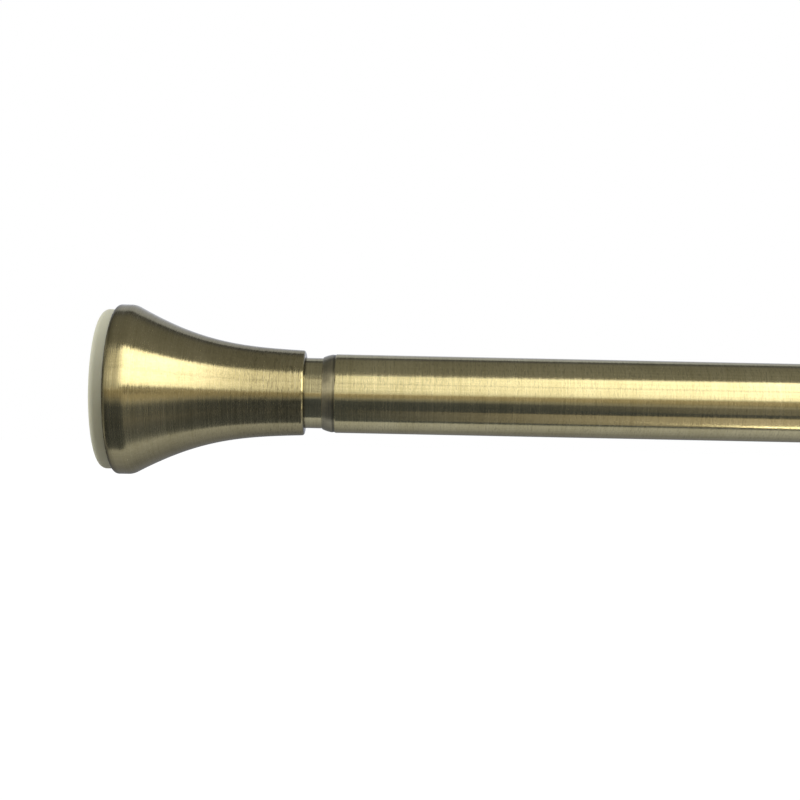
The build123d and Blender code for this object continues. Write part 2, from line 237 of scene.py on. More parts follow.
# %% [markdown]
# ## The flared caps
#
# Each cap is spun from thin brass sheet over a form, so it is one skin: a rolled
# rim, a short straight band, a rounded crease, a long trumpet and a neck that is
# turned in towards the tube. It could be made from a scaled cone and subdivision,
# but a spun shape is exactly an outline, so the lathe gives the crease and the
# slow curve of the trumpet without dents.


# %% Caps
def cap_outline(bore_r):
    """Outer face from rim to neck, the lip down to bore_r, and the inner face back to the rim."""
    lean, neck_lean = np.arctan(flare_slope), np.arctan(neck_slope)
    cap_length = neck_end - left_wall
    crease = (pad_thickness + band_length, rim_r - crease_r)
    rim = (pad_thickness + rim_round, rim_r - rim_round)
    neck_height = neck_r + neck_slope * neck_round
    neck_top = (cap_length - neck_round * (1 - np.sin(neck_lean)), neck_height)
    neck = (cap_length - neck_round, neck_height - neck_round * np.cos(neck_lean))

    def flare(skin, last):
        """The trumpet, from the crease to the neck, at a depth below the outer face."""
        first = arc(crease, crease_r - skin, lean, lean, 1)[0]
        second = first + [flare_handle, -flare_slope * flare_handle]
        third = (last[0] - neck_handle, last[1] + neck_slope * neck_handle)
        return trumpet(first, second, third, last)

    inner_last = (cap_length - cap_skin, neck_height - cap_skin)
    return outline(
        arc(rim, rim_round, -pi / 2, 0),
        arc(crease, crease_r, 0, lean),
        flare(0, neck_top),
        arc(neck, neck_round, neck_lean, pi / 2),
        arc((cap_length - edge_round, bore_r + edge_round), edge_round, pi / 2, pi, 5),
        (cap_length - cap_skin, bore_r),
        flare(cap_skin, inner_last)[::-1],
        arc(crease, crease_r - cap_skin, lean, 0),
        arc(rim, rim_round - cap_skin, 0, -pi / 2),
    )


cap_left = turned("flared_cap_left", from_wall(cap_outline(inner_r + running_gap)))
cap_right = turned("flared_cap_right", mirrored(cap_outline(outer_r + running_gap)))

# %% [markdown]
# ## The rubber pads
#
# A pad is a moulded disc of pale rubber with a soft outer corner. Its wall face
# has three round grooves that grip the tiles, and a ring behind keys it into the
# plastic carrier. Rubber has no crisp edge, so every corner here is an arc.


# %% Pads
pad_back_r = 0.3 * mm
face_rim = 1.5 * mm


def groove(radius):
    """A round-bottomed groove in the wall face: depth * sin(pi t) ** 0.6, from its inner edge out."""
    t = np.linspace(0, 1, 15)
    depth = pad_groove_depth * np.sin(pi * t) ** 0.6
    return np.stack([depth, radius + pad_groove_width * (t - 0.5)], 1)


def pad_outline():
    """From the middle of the wall face, over the outer corner, to the middle of the back."""
    key_in, key_out = pad_key_r - pad_key_width / 2, pad_key_r + pad_key_width / 2
    key_top = pad_thickness + pad_key_height
    return outline(
        (0, 0),
        *[groove(radius) for radius in pad_groove_radii],
        (0, pad_r - pad_corner_r - face_rim),
        arc((pad_corner_r, pad_r - pad_corner_r), pad_corner_r, -pi / 2, 0, 24),
        arc((pad_thickness - pad_back_r, pad_r - pad_back_r), pad_back_r, 0, pi / 2, 6),
        (pad_thickness, key_out),
        arc((key_top - pad_back_r, key_out - pad_back_r), pad_back_r, 0, pi / 2, 6),
        arc((key_top - pad_back_r, key_in + pad_back_r), pad_back_r, pi / 2, pi, 6),
        (pad_thickness, key_in),
        (pad_thickness, 0),
    )


pad_left = turned("rubber_pad_left", from_wall(pad_outline()), closed=False)
pad_right = turned("rubber_pad_right", mirrored(pad_outline()), closed=False)

# %% [markdown]
# ## The tubes and the collar
#
# The tubes are rolled and welded strip, brushed round and lacquered. Only their
# ends need care: a cut edge that has been broken, so that it catches a thin line
# of light. The collar closes the outer tube's mouth. Its nose is slightly
# crowned, which spreads the light more softly than the tubes do, and a shallow
# groove is left where the two meet.

# %% Tubes
ring_clearance = 0.05 * mm
groove_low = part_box("stop_ring")[0][0] - ring_clearance
groove_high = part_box("stop_ring")[1][0] + ring_clearance
groove_depth = 0.3 * mm
mouth_bevel = 0.34 * mm
mouth_drop = 0.16 * mm
mouth_land = 0.04 * mm


def tube_end(x, r_in, r_out, side):
    """Outline of a broken tube edge at x, from the outside in. side is +1 at a right end."""
    lip = edge_round * side
    outer = arc((x - lip, r_out - edge_round), edge_round, 0, side * pi / 2, 5)
    inner = arc((x - lip, r_in + edge_round), edge_round, side * pi / 2, side * pi, 5)
    return np.concatenate([outer, inner])


inner_outline = outline(
    (groove_low, inner_r),
    (groove_low, inner_r - groove_depth),
    (groove_high, inner_r - groove_depth),
    (groove_high, inner_r),
    tube_end(inner_right, inner_r - tube_wall, inner_r, 1),
    tube_end(inner_left, inner_r - tube_wall, inner_r, -1)[::-1],
)
outer_outline = outline(
    tube_end(outer_right, outer_r - tube_wall, outer_r, 1),
    (outer_left, outer_r - tube_wall),
    (outer_left, outer_r - mouth_drop),
    (outer_left + mouth_bevel, outer_r),
    (outer_left + mouth_bevel + mouth_land, outer_r),
)
inner_tube = turned("inner_tube_brushed", inner_outline)
outer_tube = turned("outer_tube_brushed", outer_outline)

# %% Collar
collar_clearance = 0.075 * mm
collar_step = 0.15 * mm
sleeve_clearance = 0.05 * mm
nose_round = 0.3 * mm
nose_land = 0.05 * mm
joint_width = 0.8 * mm
joint_depth = 0.1 * mm
crown = 0.14 * mm

collar_bore_r = inner_r + collar_clearance
step_r = outer_r - collar_step
sleeve_r = outer_r - tube_wall - sleeve_clearance


def crowned_nose():
    """A straight taper plus crown * 4 t (1 - t), from the nose's tip to the joint before the tube."""
    t = np.linspace(0, 1, 24)
    start_x, end_x = collar_nose + nose_round, outer_left - joint_width
    start_r = collar_bore_r + nose_round + nose_land
    radius = start_r + (step_r - start_r) * t + crown * 4 * t * (1 - t)
    return np.stack([start_x + (end_x - start_x) * t, radius], 1)


collar_outline = outline(
    arc((collar_nose + nose_round, collar_bore_r + nose_land), nose_round, -pi / 2, 0, 9)[:-1],
    crowned_nose(),
    (outer_left - joint_width, step_r - joint_depth),
    (outer_left, step_r - joint_depth),
    (outer_left, sleeve_r),
    (collar_end, sleeve_r),
    (collar_end, collar_bore_r),
    (collar_nose, collar_bore_r),
)
collar = turned("mouth_collar_satin", collar_outline)

# %% [markdown]
# ## Thread and spring
#
# The spindle inside the tube is a screw with a 3 mm lead: when the inner tube is
# turned by hand, the nut climbs it and the rod presses against both walls. A
# thread is still a lathe shape, but one whose radius depends on the angle too:
# the outline is read at (distance / lead + turn). The spring in the foot is a
# round wire carried along a helix.

# %% Spindle with its thread
lead = 3.0 * mm
thread_depth = 1.5 * mm
thread_chamfer = 0.8 * mm
crest_share, flank_share = 0.29, 0.42
drive_flats = 8.0 * mm
spindle_left, spindle_right, spindle_r = ends("spindle")
thread_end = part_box("cam_core")[0][0]


def tooth(phase):
    """Trapezoid between 0 at the crest and 1 at the root, both flat, with straight flanks between."""
    height = np.abs((phase % 1.0) - 0.5) * 2
    return np.clip((height - crest_share) / flank_share, 0, 1)


def spindle_surface(along=620, around=72):
    """At distance x and turn t the radius is crest - depth * tooth(x / lead + t), run out at both ends."""
    x = np.linspace(spindle_left, thread_end, along)[:, None]
    turn = np.arange(around)[None] / around
    runout = np.clip((x - spindle_left) / lead, 0, 1) * np.clip((thread_end - x) / lead, 0, 1)
    chamfer = np.clip(thread_chamfer - (x - spindle_left), 0, None)
    r = spindle_r - chamfer - thread_depth * tooth(x / lead + turn) * runout
    places = np.broadcast_arrays(x, r * np.cos(2 * pi * turn), r * np.sin(2 * pi * turn))
    return np.stack(places, -1).reshape(-1, 3), ring_faces(along, around)


def hexagon(x_start, x_end, flats):
    """The six-sided drive on the spindle's end: corners at flats / sqrt 3 from the axis."""
    turn = np.arange(6) * pi / 3 + pi / 6
    corner = flats / np.sqrt(3)
    ring = np.stack([np.zeros(6), corner * np.cos(turn), corner * np.sin(turn)], 1)
    return np.concatenate([ring + [x_start, 0, 0], ring + [x_end, 0, 0]]), ring_faces(2, 6)


thread_corners, thread_faces = spindle_surface()
drive_corners, drive_faces = hexagon(thread_end, spindle_right, drive_flats)
shifted = [[corner + len(thread_corners) for corner in face] for face in drive_faces]
spindle_corners = np.concatenate([thread_corners, drive_corners])
spindle = mesh_object("spindle_threaded", spindle_corners, thread_faces + shifted)
print(f"thread of {(thread_end - spindle_left) / lead:.1f} turns")

# %% Spring of the foot
wire_r = 1.0 * mm
coils = 4.0
spring_low, spring_high, spring_outer_r = ends("foot_spring")
coil_r = spring_outer_r - wire_r


def spring_surface(steps=420, sides=20):
    """Circle of the wire carried along (x, R cos t, R sin t), across to the axis and along it."""
    share = np.linspace(0, 1, steps)
    turn = 2 * pi * coils * share
    x = spring_low + wire_r + (spring_high - spring_low - 2 * wire_r) * share
    path = np.stack([x, coil_r * np.cos(turn), coil_r * np.sin(turn)], 1)
    forward = np.gradient(path, axis=0)
    forward /= np.linalg.norm(forward, axis=1, keepdims=True)
    outward = np.stack([np.zeros(steps), np.cos(turn), np.sin(turn)], 1)
    upward = np.cross(forward, outward)
    angle = 2 * pi * np.arange(sides) / sides
    ring = outward[:, None] * np.cos(angle)[None, :, None] + upward[:, None] * np.sin(angle)[None, :, None]
    return (path[:, None] + wire_r * ring).reshape(-1, 3), ring_faces(steps, sides)


spring = mesh_object("foot_spring_wire", *spring_surface())
print(f"spring of {coils} coils on a {coil_r / mm:.1f} mm radius")

# %% [markdown]
# ## Finishes
#
# A finish is a small graph of nodes. Each helper below adds one node and links
# what it is given, so a material reads from the pattern to the shader. Patterns
# use Object coordinates: they are metres on the piece, so a scale of 3000 means
# 3000 marks in a metre, and the grain stays at its real size.


# %% Node helpers
def add(tree, kind, values=None, **settings):
    """One node. values fills its sockets, with a number or with another node's output."""
    made = tree.nodes.new(kind)
    count = len(tree.nodes)
    made.location = (220 * (count // 6), -190 * (count % 6))
    for name, value in settings.items():
        setattr(made, name, value)
    for socket, value in (values or {}).items():
        if isinstance(value, bpy.types.NodeSocket):
            tree.links.new(value, made.inputs[socket])
        else:
            made.inputs[socket].default_value = value
    return made


def emptied(owner):
    """The node tree of a material or of the world, with its first nodes taken out."""
    owner.use_nodes = True
    owner.node_tree.nodes.clear()
    return owner.node_tree


def new_material(name):
    """An empty node material with its shader joined to the output."""
    material = bpy.data.materials.new(name)
    tree = emptied(material)
    shader = add(tree, "ShaderNodeBsdfPrincipled")
    add(tree, "ShaderNodeOutputMaterial", {"Surface": shader.outputs[0]})
    return material, tree, shader


def on_piece(tree):
    """The place on the piece, in metres."""
    return add(tree, "ShaderNodeTexCoord").outputs["Object"]


def marks(tree, along, across, detail=2.0, roughness=0.5):
    """Noise with its marks counted per metre, along the rod and across it."""
    sockets = {"Vector": on_piece(tree), "Scale": (along, across, across)}
    place = add(tree, "ShaderNodeMapping", sockets).outputs[0]
    sockets = {"Vector": place, "Scale": 1.0, "Detail": detail, "Roughness": roughness}
    return add(tree, "ShaderNodeTexNoise", sockets).outputs[0]


def span(tree, value, low, high, from_low=0.3, from_high=0.7):
    """The value moved from one span to another, and kept inside it. Noise spans about 0.3 to 0.7."""
    sockets = {"Value": value, "From Min": from_low, "From Max": from_high, "To Min": low, "To Max": high}
    return add(tree, "ShaderNodeMapRange", sockets).outputs[0]


def math(tree, operation, first, second):
    """One arithmetic node."""
    return add(tree, "ShaderNodeMath", {0: first, 1: second}, operation=operation).outputs[0]


def vector(tree, operation, values, output=0):
    """One node of vector arithmetic. Its length or dot product is the output called Value."""
    return add(tree, "ShaderNodeVectorMath", values, operation=operation).outputs[output]


def total(tree, *parts):
    """Weighted sum of (value, weight) pairs."""
    weighted = [math(tree, "MULTIPLY", value, weight) for value, weight in parts]
    result = weighted[0]
    for part in weighted[1:]:
        result = math(tree, "ADD", result, part)
    return result


def blend(tree, factor, low, high):
    """Colour between low and high by a factor from 0 to 1. Both may be another node's output."""
    tones = [tone if isinstance(tone, bpy.types.NodeSocket) else (*tone, 1) for tone in (low, high)]
    return add(tree, "ShaderNodeMix", {0: factor, 6: tones[0], 7: tones[1]}, data_type="RGBA").outputs[2]


def dimmed(tone, share):
    """The same colour with its brightness times share."""
    return tuple(share * part for part in tone)


def wear_height(tree, shader, height, strength, distance, facing=None):
    """Bump from a height pattern, on top of the facing direction if one is given."""
    values = {"Height": height, "Strength": strength, "Distance": distance}
    if facing:
        values["Normal"] = facing
    tree.links.new(add(tree, "ShaderNodeBump", values).outputs[0], shader.inputs["Normal"])


# %% [markdown]
# ### Brushed brass
#
# The brass is brushed while it spins, so its scratches run round the rod. Such
# metal stays sharp round the tube, where the eye sees crisp bands of light, and
# blurs along it. An anisotropic shader does that if it is told the direction:
# U of the grain map runs along the outline. Each hair also turns the surface a
# little round the rod. That frays the edges of the bands, where more roughness
# would only soften them. The colour varies less: brush marks, dark nicks, faint
# lines along the drawn tube, and slow clouds.

# %% Brushed metals
# Marks in a metre, along the rod and across it.
fine_marks = (3400, 42)
tick_marks = (2200, 420)
coarse_marks = (900, 20)
drawn_marks = (5, 1500)
cloud_marks = (70, 70)
hair_marks = (2600, 90)

tone_span = (0.37, 0.63)
nick_span = (0.52, 0.62)
nick_tone = 0.5
# Share of the dark tone left under painted shade and grime.
shade_and_grime_tone = 0.1
brush_depth = 0.04 * mm


def hairy(tree, lift, amount):
    """The surface's direction, turned round the rod by up to amount radians, hair by hair."""
    round_rod = vector(tree, "CROSS_PRODUCT", {0: (1, 0, 0), 1: on_piece(tree)})
    one_long = vector(tree, "NORMALIZE", {0: round_rod})
    settings = {"vector_type": "VECTOR", "convert_from": "OBJECT", "convert_to": "WORLD"}
    in_world = add(tree, "ShaderNodeVectorTransform", {0: one_long}, **settings).outputs[0]
    side = vector(tree, "SCALE", {0: in_world, "Scale": span(tree, lift, -amount, amount)})
    straight = add(tree, "ShaderNodeNewGeometry").outputs["Normal"]
    leaned = vector(tree, "ADD", {0: straight, 1: side})
    return vector(tree, "NORMALIZE", {0: leaned})


def brushed(
    name, dark, light, roughness, nicked, anisotropy=1.0, raised=0.35, hair=0.006, shade_and_grime=None, wear=None
):
    """Metal brushed round the rod, between a dark and a light tone of one alloy.

    nicked is how much the nicks darken it, raised how strong its bump is, and hair
    how far its hairs lean. The shade mask gives a share of painted shade and grime by place, and wear a
    share of nicks.
    """
    material, tree, shader = new_material(name)
    fine = marks(tree, *fine_marks, roughness=0.6)
    ticks = marks(tree, *tick_marks, detail=3.0, roughness=0.65)
    coarse = marks(tree, *coarse_marks)
    drawn = marks(tree, *drawn_marks)
    cloud = marks(tree, *cloud_marks, detail=3.0)
    brush = total(tree, (fine, 0.3), (ticks, 0.5), (coarse, 0.2))
    stain = total(tree, (brush, 0.6), (drawn, 0.16), (cloud, 0.24))
    tone = span(tree, stain, 0.0, 1.0, *tone_span)
    nicks = span(tree, ticks, 0.0, nicked, *nick_span)
    if wear:
        nicks = math(tree, "MULTIPLY", nicks, wear(tree))
    colour = blend(tree, nicks, blend(tree, tone, dark, light), dimmed(dark, nick_tone))
    # Painted shade and grime darken the joints toward a dim copy of the dark tone.
    if shade_and_grime:
        colour = blend(tree, shade_and_grime(tree), colour, dimmed(dark, shade_and_grime_tone))
    tree.links.new(colour, shader.inputs["Base Color"])
    tree.links.new(span(tree, fine, roughness - 0.05, roughness + 0.07), shader.inputs["Roughness"])
    shader.inputs["Metallic"].default_value = 1.0
    shader.inputs["Anisotropic"].default_value = anisotropy
    direction = add(tree, "ShaderNodeTangent", direction_type="UV_MAP", uv_map="grain")
    tree.links.new(direction.outputs[0], shader.inputs["Tangent"])
    hairs = marks(tree, *hair_marks, roughness=0.6)
    wear_height(tree, shader, brush, raised, brush_depth, hairy(tree, hairs, hair))
    return material


# %% [markdown]
# ### Wear, grime and painted shade
#
# The joints are darkened with painted shade: between pad and cap and over the rim
# beside it, in the mouth of the cap's neck, and beside the collar. At the pad it
# also stands for grime. The cap is brushed hardest toward its neck. Both follow
# from the place on the rod, so a few Map Range nodes along it say where they
# begin and end, and no map is painted.
# Range nodes along it say where they begin and end, and no map is painted.

# %% Wear, grime and painted shade by place
wear_start, wear_full = 30 * mm, 60 * mm
rim_wear = 0.3
pad_joint = (0.25 * mm, 0.6 * mm)
rim_fade = (0.3 * mm, 2.8 * mm)
# The rim's share is painted shade that fades across the rolled rim.
rim_shade = 0.6
mouth_fade = (0.75 * mm, 0.45 * mm)
# The collar's groove is darkened by painted shadow.
joint_fade = 0.03 * mm
joint_shade = 0.5


def place_along(tree):
    """The place along the rod, in metres."""
    return add(tree, "ShaderNodeSeparateXYZ", {0: on_piece(tree)}).outputs["X"]


def along_rod(tree, low, high, from_low, from_high):
    """A value that moves from low to high between two places along the rod."""
    return span(tree, place_along(tree), low, high, from_low, from_high)


def cap_wear(tree):
    """rim_wear by the walls, rising to 1 at the necks of both caps."""
    left = along_rod(tree, rim_wear, 1.0, left_wall + wear_start, left_wall + wear_full)
    right = along_rod(tree, 1.0, rim_wear, -wear_full, -wear_start)
    return math(tree, "MINIMUM", left, right)


def cap_shade_and_grime(tree):
    """Painted shade, with grime in the pad's joint: 1 in that joint and inside the mouth of the neck, 0 on
    the open faces.

    Both caps share it: half the rod's length less the distance from its middle is
    the distance from the nearer wall.
    """
    half = -left_wall / 2
    off_middle = math(tree, "ABSOLUTE", math(tree, "ADD", place_along(tree), half), 0.0)
    off_pad = math(tree, "SUBTRACT", half - pad_thickness, off_middle)
    # The joint, the rim and the mouth are painted shade, and the joint is also grime.
    joint = span(tree, off_pad, 1.0, 0.0, *pad_joint)
    rim = span(tree, off_pad, rim_shade, 0.0, *rim_fade)
    across = vector(tree, "MULTIPLY", {0: on_piece(tree), 1: (0, 1, 1)})
    radius = vector(tree, "LENGTH", {0: across}, "Value")
    mouth = span(tree, radius, 1.0, 0.0, *(neck_r - depth for depth in mouth_fade))
    return math(tree, "MAXIMUM", math(tree, "MAXIMUM", joint, rim), mouth)


def collar_joint_shade(tree):
    """Painted shadow in the groove between the collar and the tube."""
    start = outer_left - joint_width
    return along_rod(tree, 0.0, joint_shade, start - joint_fade, start + joint_fade)


# Its mask paints shade into the joints at pad and neck, with grime at the pad.
cap_brass = brushed(
    "brushed_cap_brass",
    (0.48, 0.41, 0.20),
    (0.76, 0.66, 0.37),
    0.22,
    nicked=0.6,
    raised=0.6,
    hair=0.014,
    shade_and_grime=cap_shade_and_grime,
    wear=cap_wear,
)
tube_brass = brushed("brushed_tube_brass", (0.69, 0.60, 0.30), (1.0, 0.89, 0.51), 0.18, nicked=0.36)
inner_brass = brushed("brushed_inner_brass", (0.62, 0.54, 0.29), (1.0, 0.90, 0.52), 0.14, nicked=0.3)
# Its mask paints shadow into the groove at the tube.
collar_bronze = brushed(
    "satin_collar_bronze",
    (0.44, 0.40, 0.25),
    (0.70, 0.63, 0.41),
    0.33,
    nicked=0.3,
    anisotropy=0.85,
    shade_and_grime=collar_joint_shade,
)
print("brushed metals:", cap_brass.name, tube_brass.name, inner_brass.name, collar_bronze.name)

# %% [markdown]
# ### Rubber, plastics and steel
#
# The pads are pale rubber that has yellowed a little unevenly, with a dull skin.
# The carriers, plugs and the lock are moulded plastics, and the fasteners are
# zinc-plated steel. They are mostly hidden, but each still gets a real surface.

# %% Rubber, plastics and steel
# Marks in a metre, the same in every direction.
cloud_grain, skin_grain = (55, 55), (2600, 2600)
mottle_grain, tool_grain = (420, 420), (1400, 1400)
skin_depth = 0.03 * mm
skin_raised, tool_raised = 0.25, 0.2
soft_depth = 1.5 * mm
soft_reach = (1.0, 0.8, 0.5)


def moulded(name, low, high, roughness, softness=0.0):
    """Moulded rubber or plastic: clouded colour and a fine spark-eroded skin."""
    material, tree, shader = new_material(name)
    cloud = marks(tree, *cloud_grain, detail=4.0)
    skin = marks(tree, *skin_grain)
    tree.links.new(blend(tree, span(tree, cloud, 0, 1), low, high), shader.inputs["Base Color"])
    tree.links.new(span(tree, skin, roughness - 0.08, roughness + 0.08), shader.inputs["Roughness"])
    if softness:
        shader.inputs["Subsurface Weight"].default_value = softness
        shader.inputs["Subsurface Radius"].default_value = soft_reach
        shader.inputs["Subsurface Scale"].default_value = soft_depth
    wear_height(tree, shader, skin, skin_raised, skin_depth)
    return material


def plated(name, low, high, roughness):
    """Plated or drawn steel: mottled plating with fine marks of the tool."""
    material, tree, shader = new_material(name)
    mottle = marks(tree, *mottle_grain, detail=4.0)
    tool = marks(tree, *tool_grain)
    tree.links.new(blend(tree, span(tree, mottle, 0, 1), low, high), shader.inputs["Base Color"])
    tree.links.new(span(tree, tool, roughness - 0.07, roughness + 0.1), shader.inputs["Roughness"])
    shader.inputs["Metallic"].default_value = 1.0
    wear_height(tree, shader, tool, tool_raised, skin_depth)
    return material


finishes = {
    "pad_rubber": moulded("pale_pad_rubber", (0.60, 0.60, 0.45), (0.71, 0.71, 0.55), 0.5, softness=0.1),
    "carrier_plastic": moulded("dark_carrier_plastic", (0.018, 0.018, 0.016), (0.03, 0.03, 0.027), 0.45),
    "nylon_black": moulded("black_nylon", (0.016, 0.016, 0.017), (0.028, 0.028, 0.03), 0.4),
    "nylon_natural": moulded("natural_nylon", (0.66, 0.64, 0.56), (0.74, 0.72, 0.64), 0.38, softness=0.1),
    "zinc_steel": plated("zinc_plated_steel", (0.50, 0.51, 0.53), (0.66, 0.67, 0.68), 0.34),
    "spring_steel": plated("drawn_spring_steel", (0.30, 0.30, 0.31), (0.46, 0.46, 0.47), 0.3),
    "nut_brass": plated("cast_nut_brass", (0.58, 0.45, 0.20), (0.72, 0.58, 0.28), 0.36),
    "cap_brass": cap_brass,
    "tube_brass": tube_brass,
    "inner_tube_brass": inner_brass,
    "collar_bronze": collar_bronze,
}
print(len(finishes), "finishes")

# %% [markdown]
# ## Dressing the model
#
# Each new piece stands for one solid of the model, and each but the spring moves with the same body.
# The solids whose shape is already right keep it and only take a finish.

# %% Put each piece on its body
pieces = [
    (cap_left, "left_cap", "foot", "cap_brass"),
    (cap_right, "right_cap", "outer", "cap_brass"),
    (pad_left, "left_pad", "foot", "pad_rubber"),
    (pad_right, "right_pad", "outer", "pad_rubber"),
    (inner_tube, "inner_tube", "inner", "inner_tube_brass"),
    (outer_tube, "outer_tube", "outer", "tube_brass"),
    (collar, "mouth_collar", "outer", "collar_bronze"),
    (spindle, "spindle", "lock_spindle", "zinc_steel"),
]
for piece, node, body, finish in pieces:
    piece.data.materials.append(finishes[finish])
    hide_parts(node)
    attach(piece, body)

spring.data.materials.append(finishes["spring_steel"])
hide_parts("foot_spring")
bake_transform(spring)
print(len(pieces) + 1, "pieces stand for solids of the model")

# %% Finishes of the solids that stay
slots = {
    "carrier_plastic": ["left_pad_carrier", "right_pad_carrier"],
    "nylon_black": ["left_tube_plug", "right_tube_plug", "end_bush", "cam_core"],
    "nylon_natural": ["cam_ring", "stop_ring"],
    "nut_brass": ["drive_nut"],
    "zinc_steel": [
        "foot_stem",
        "stem_washer",
        "stem_nut",
        "spring_cup",
        "nut_cover",
        "travel_stop",
        "stop_pin",
        "cam_washer",
        "cam_screw",
        "foot_screw",
        "screw_washer",
    ],
}
for finish, names in slots.items():
    for name in names:
        for slot in nodes[name].material_slots:
            slot.material = finishes[finish]
print(sum(len(names) for names in slots.values()), "solids keep their shape")

# %% [markdown]
# ## The studio
#
# Polished metal is a picture of the room, so the room is built with care. Lamps
# would do, but each edge of each band would have to be found by trial. Here the
# world shader finds the angle round the rod from the direction of each ray, and
# a colour ramp holds the light at each angle: 0 degrees is toward the camera, 90
# straight up and 180 behind. A tall bright window stands in front and above, with
# dim walls over it, a warm edge and then dark below it, a grey table under and
# behind the rod, and white at the back.

# %% Bands of light round the rod
neutral = (1.0, 1.0, 1.0)
warm = (1.06, 0.93, 0.72)
cool = (0.96, 1.0, 1.16)
cold = (0.93, 1.0, 1.25)
shade = (0.92, 1.03, 1.3)
window_light = (1.0, 0.97, 0.9)
room_bands = [
    (-180, 0.42, cool),
    (-170, 0.21, cool),
    (-160, 0.18, cool),
    (-135, 0.19, cool),
    (-110, 0.32, cool),
    (-90, 0.42, cool),
    (-88, 0.072, shade),
    (-45, 0.052, shade),
    (-22, 0.06, shade),
    (-15.5, 0.18, neutral),
    (-8, 0.29, warm),
    (0, 0.34, warm),
    (3, 0.0, warm),
    (50, 0.0, neutral),
    (54, 0.25, neutral),
    (70, 0.18, neutral),
    (112, 0.15, neutral),
    (124, 0.09, cool),
    (130, 0.05, cool),
    (133, 0.36, cold),
    (155, 0.40, cold),
    (170, 0.70, cold),
    (180, 1.0, neutral),
]
window_heights = [
    (-2, 0.0),
    (2.5, 0.70),
    (14, 0.86),
    (24, 0.91),
    (27.2, 0.92),
    (29, 0.42),
    (30.7, 0.9),
    (50, 1.02),
]
window_widths = [
    (-1, 0.4),
    (-0.74, 0.5),
    (-0.66, 1.0),
    (-0.56, 1.0),
    (-0.46, 0.42),
    (-0.2, 0.47),
    (0.0, 1.0),
    (0.08, 1.25),
    (0.25, 1.5),
    (0.8, 3.4),
]
window_bands = [(at, brightness, window_light) for at, brightness in window_heights]
window_sideways = [(at, brightness, neutral) for at, brightness in window_widths]


def bands(tree, value, stops, full=180.0, reach=pi):
    """Light over a value from -reach to reach, straight between (place, brightness, tint) stops.

    The stops' own places run from -full to full.
    """
    ramp = add(tree, "ShaderNodeValToRGB", {"Fac": span(tree, value, 0.0, 1.0, -reach, reach)})
    marks_on_ramp = ramp.color_ramp.elements
    while len(marks_on_ramp) < len(stops):
        marks_on_ramp.new(0.5)
    for mark, (at, brightness, tint) in zip(marks_on_ramp, stops):
        mark.position = (at + full) / (2 * full)
        mark.color = (*dimmed(tint, brightness), 1)
    return ramp.outputs[0]


world = bpy.data.worlds.new("studio")
bpy.context.scene.world = world
tree = emptied(world)
ray_direction = add(tree, "ShaderNodeTexCoord").outputs["Generated"]
parts = add(tree, "ShaderNodeSeparateXYZ", {0: ray_direction})
sideways = parts.outputs["X"]
angle = math(tree, "ARCTAN2", parts.outputs["Z"], math(tree, "MULTIPLY", parts.outputs["Y"], -1.0))
print(len(room_bands) + len(window_bands), "stops in the studio's light")

# %% Window
window_top = 54.0
window_top_blur = 1.0
window_top_lean = 29.0
window_sag = 3.0
sag_place = (-0.03, 0.04)
window_foot_lean = 9.0


def rising(lean):
    """An angle that grows to the right: lean * max(0, sideways)."""
    return math(tree, "MULTIPLY", math(tree, "MAXIMUM", sideways, 0.0), radians(lean))


sag = span(tree, sideways, 0.0, radians(window_sag), *sag_place)
top_lean = math(tree, "MULTIPLY", sideways, radians(window_top_lean))
top_edge = math(tree, "SUBTRACT", math(tree, "ADD", angle, sag), top_lean)
top_start, top_end = radians(window_top - window_top_blur), radians(window_top + window_top_blur)
below_top = span(tree, top_edge, 1.0, 0.0, top_start, top_end)
strength = math(tree, "MULTIPLY", below_top, bands(tree, sideways, window_sideways, 1.0, 1.0))
in_window = math(tree, "SUBTRACT", angle, rising(window_foot_lean))
window = vector(tree, "SCALE", {0: bands(tree, in_window, window_bands), "Scale": strength})
print("window from", window_bands[0][0], "to", window_top, "degrees above level")

# %% Room
sky_lean = 22.0
sky_edges = (85.0, 115.0)
brown_drop = 13.0
brown_place = (0.5, 0.85)
dark_edges = (-60.0, -35.0)
foot_edges = (-4.0, 0.0)
# Each light sideways: its share before and after, and the two places that it changes between.
room_left = (0.5, 1.0, -0.8, -0.3)
room_right = (1.0, 1.4, 0.3, 0.65)
left_wall_light = (0.45, 0.0, -0.84, -0.7)
right_wall_light = (0.0, 0.6, 0.88, 0.96)
left_corner = (0.25, 1.0, -0.98, -0.86)


def between_angles(low, high, edges):
    """A value that moves from low to high between two angles round the rod."""
    return span(tree, angle, low, high, *(radians(edge) for edge in edges))


def by_side(light):
    """The share of one of the lights that change sideways."""
    return span(tree, sideways, *light)


sky_rise = math(tree, "MULTIPLY", rising(sky_lean), between_angles(0.0, 1.0, sky_edges))
brown_fall = span(tree, sideways, 0.0, radians(brown_drop), *brown_place)
drop = math(tree, "MULTIPLY", brown_fall, between_angles(0.0, 1.0, dark_edges))
below_window = math(tree, "MULTIPLY", drop, between_angles(1.0, 0.0, foot_edges))
in_room = math(tree, "SUBTRACT", math(tree, "ADD", angle, below_window), sky_rise)
room_share = math(tree, "MULTIPLY", by_side(room_left), by_side(room_right))
room = vector(tree, "SCALE", {0: bands(tree, in_room, room_bands), "Scale": room_share})
inside = vector(tree, "ADD", {0: window, 1: room})
wall_light = math(tree, "ADD", by_side(left_wall_light), by_side(right_wall_light))
all_light = vector(tree, "ADD", {0: inside, 1: wall_light})
studio = vector(tree, "SCALE", {0: all_light, "Scale": by_side(left_corner)})
print("room of", len(room_bands), "stops between two side walls")

# %% [markdown]
# ### What each ray finds
#
# Rubber gathers light from all sides, and a room of narrow bands would light it
# with much grain. So dull surfaces find a few soft lights, each a cosine round one
# direction, where lamps would add their own highlights to the metal. Mirrored
# rays find the studio, and the camera's own rays find plain white.


